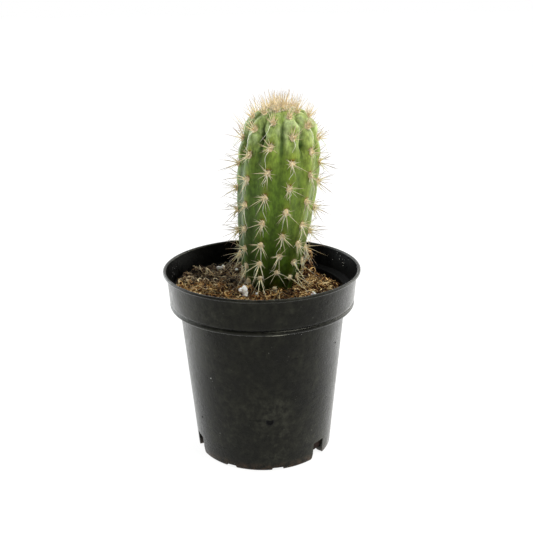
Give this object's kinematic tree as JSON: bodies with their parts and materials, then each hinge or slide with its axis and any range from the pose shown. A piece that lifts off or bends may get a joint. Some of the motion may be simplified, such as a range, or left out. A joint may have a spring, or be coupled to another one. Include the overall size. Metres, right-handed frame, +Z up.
{
  "type": "potted columnar cactus",
  "caption": "Ribbed, spiny columnar cactus standing in coir soil in a tapered round nursery pot with a deep collar and drain notches.",
  "frame": {"origin": "centre of the pot's foot ring, on the surface that the pot stands on", "axes": "+Z up the pot's axis, -Y the front that the picture shows, +X to the picture's right"},
  "size_m": [0.105, 0.105, 0.1951],
  "materials": {
    "black_plastic": "satin",
    "coir_soil": "matte",
    "cactus_skin": "satin",
    "perlite": "matte"
  },
  "bodies": {
    "root": {"pot": "black_plastic", "soil": "coir_soil", "cactus": "cactus_skin", "perlite_grain_1": "perlite", "perlite_grain_2": "perlite", "perlite_grain_3": "perlite", "perlite_grain_4": "perlite", "perlite_grain_5": "perlite", "perlite_grain_6": "perlite", "perlite_grain_7": "perlite"}
  },
  "joints": []
}
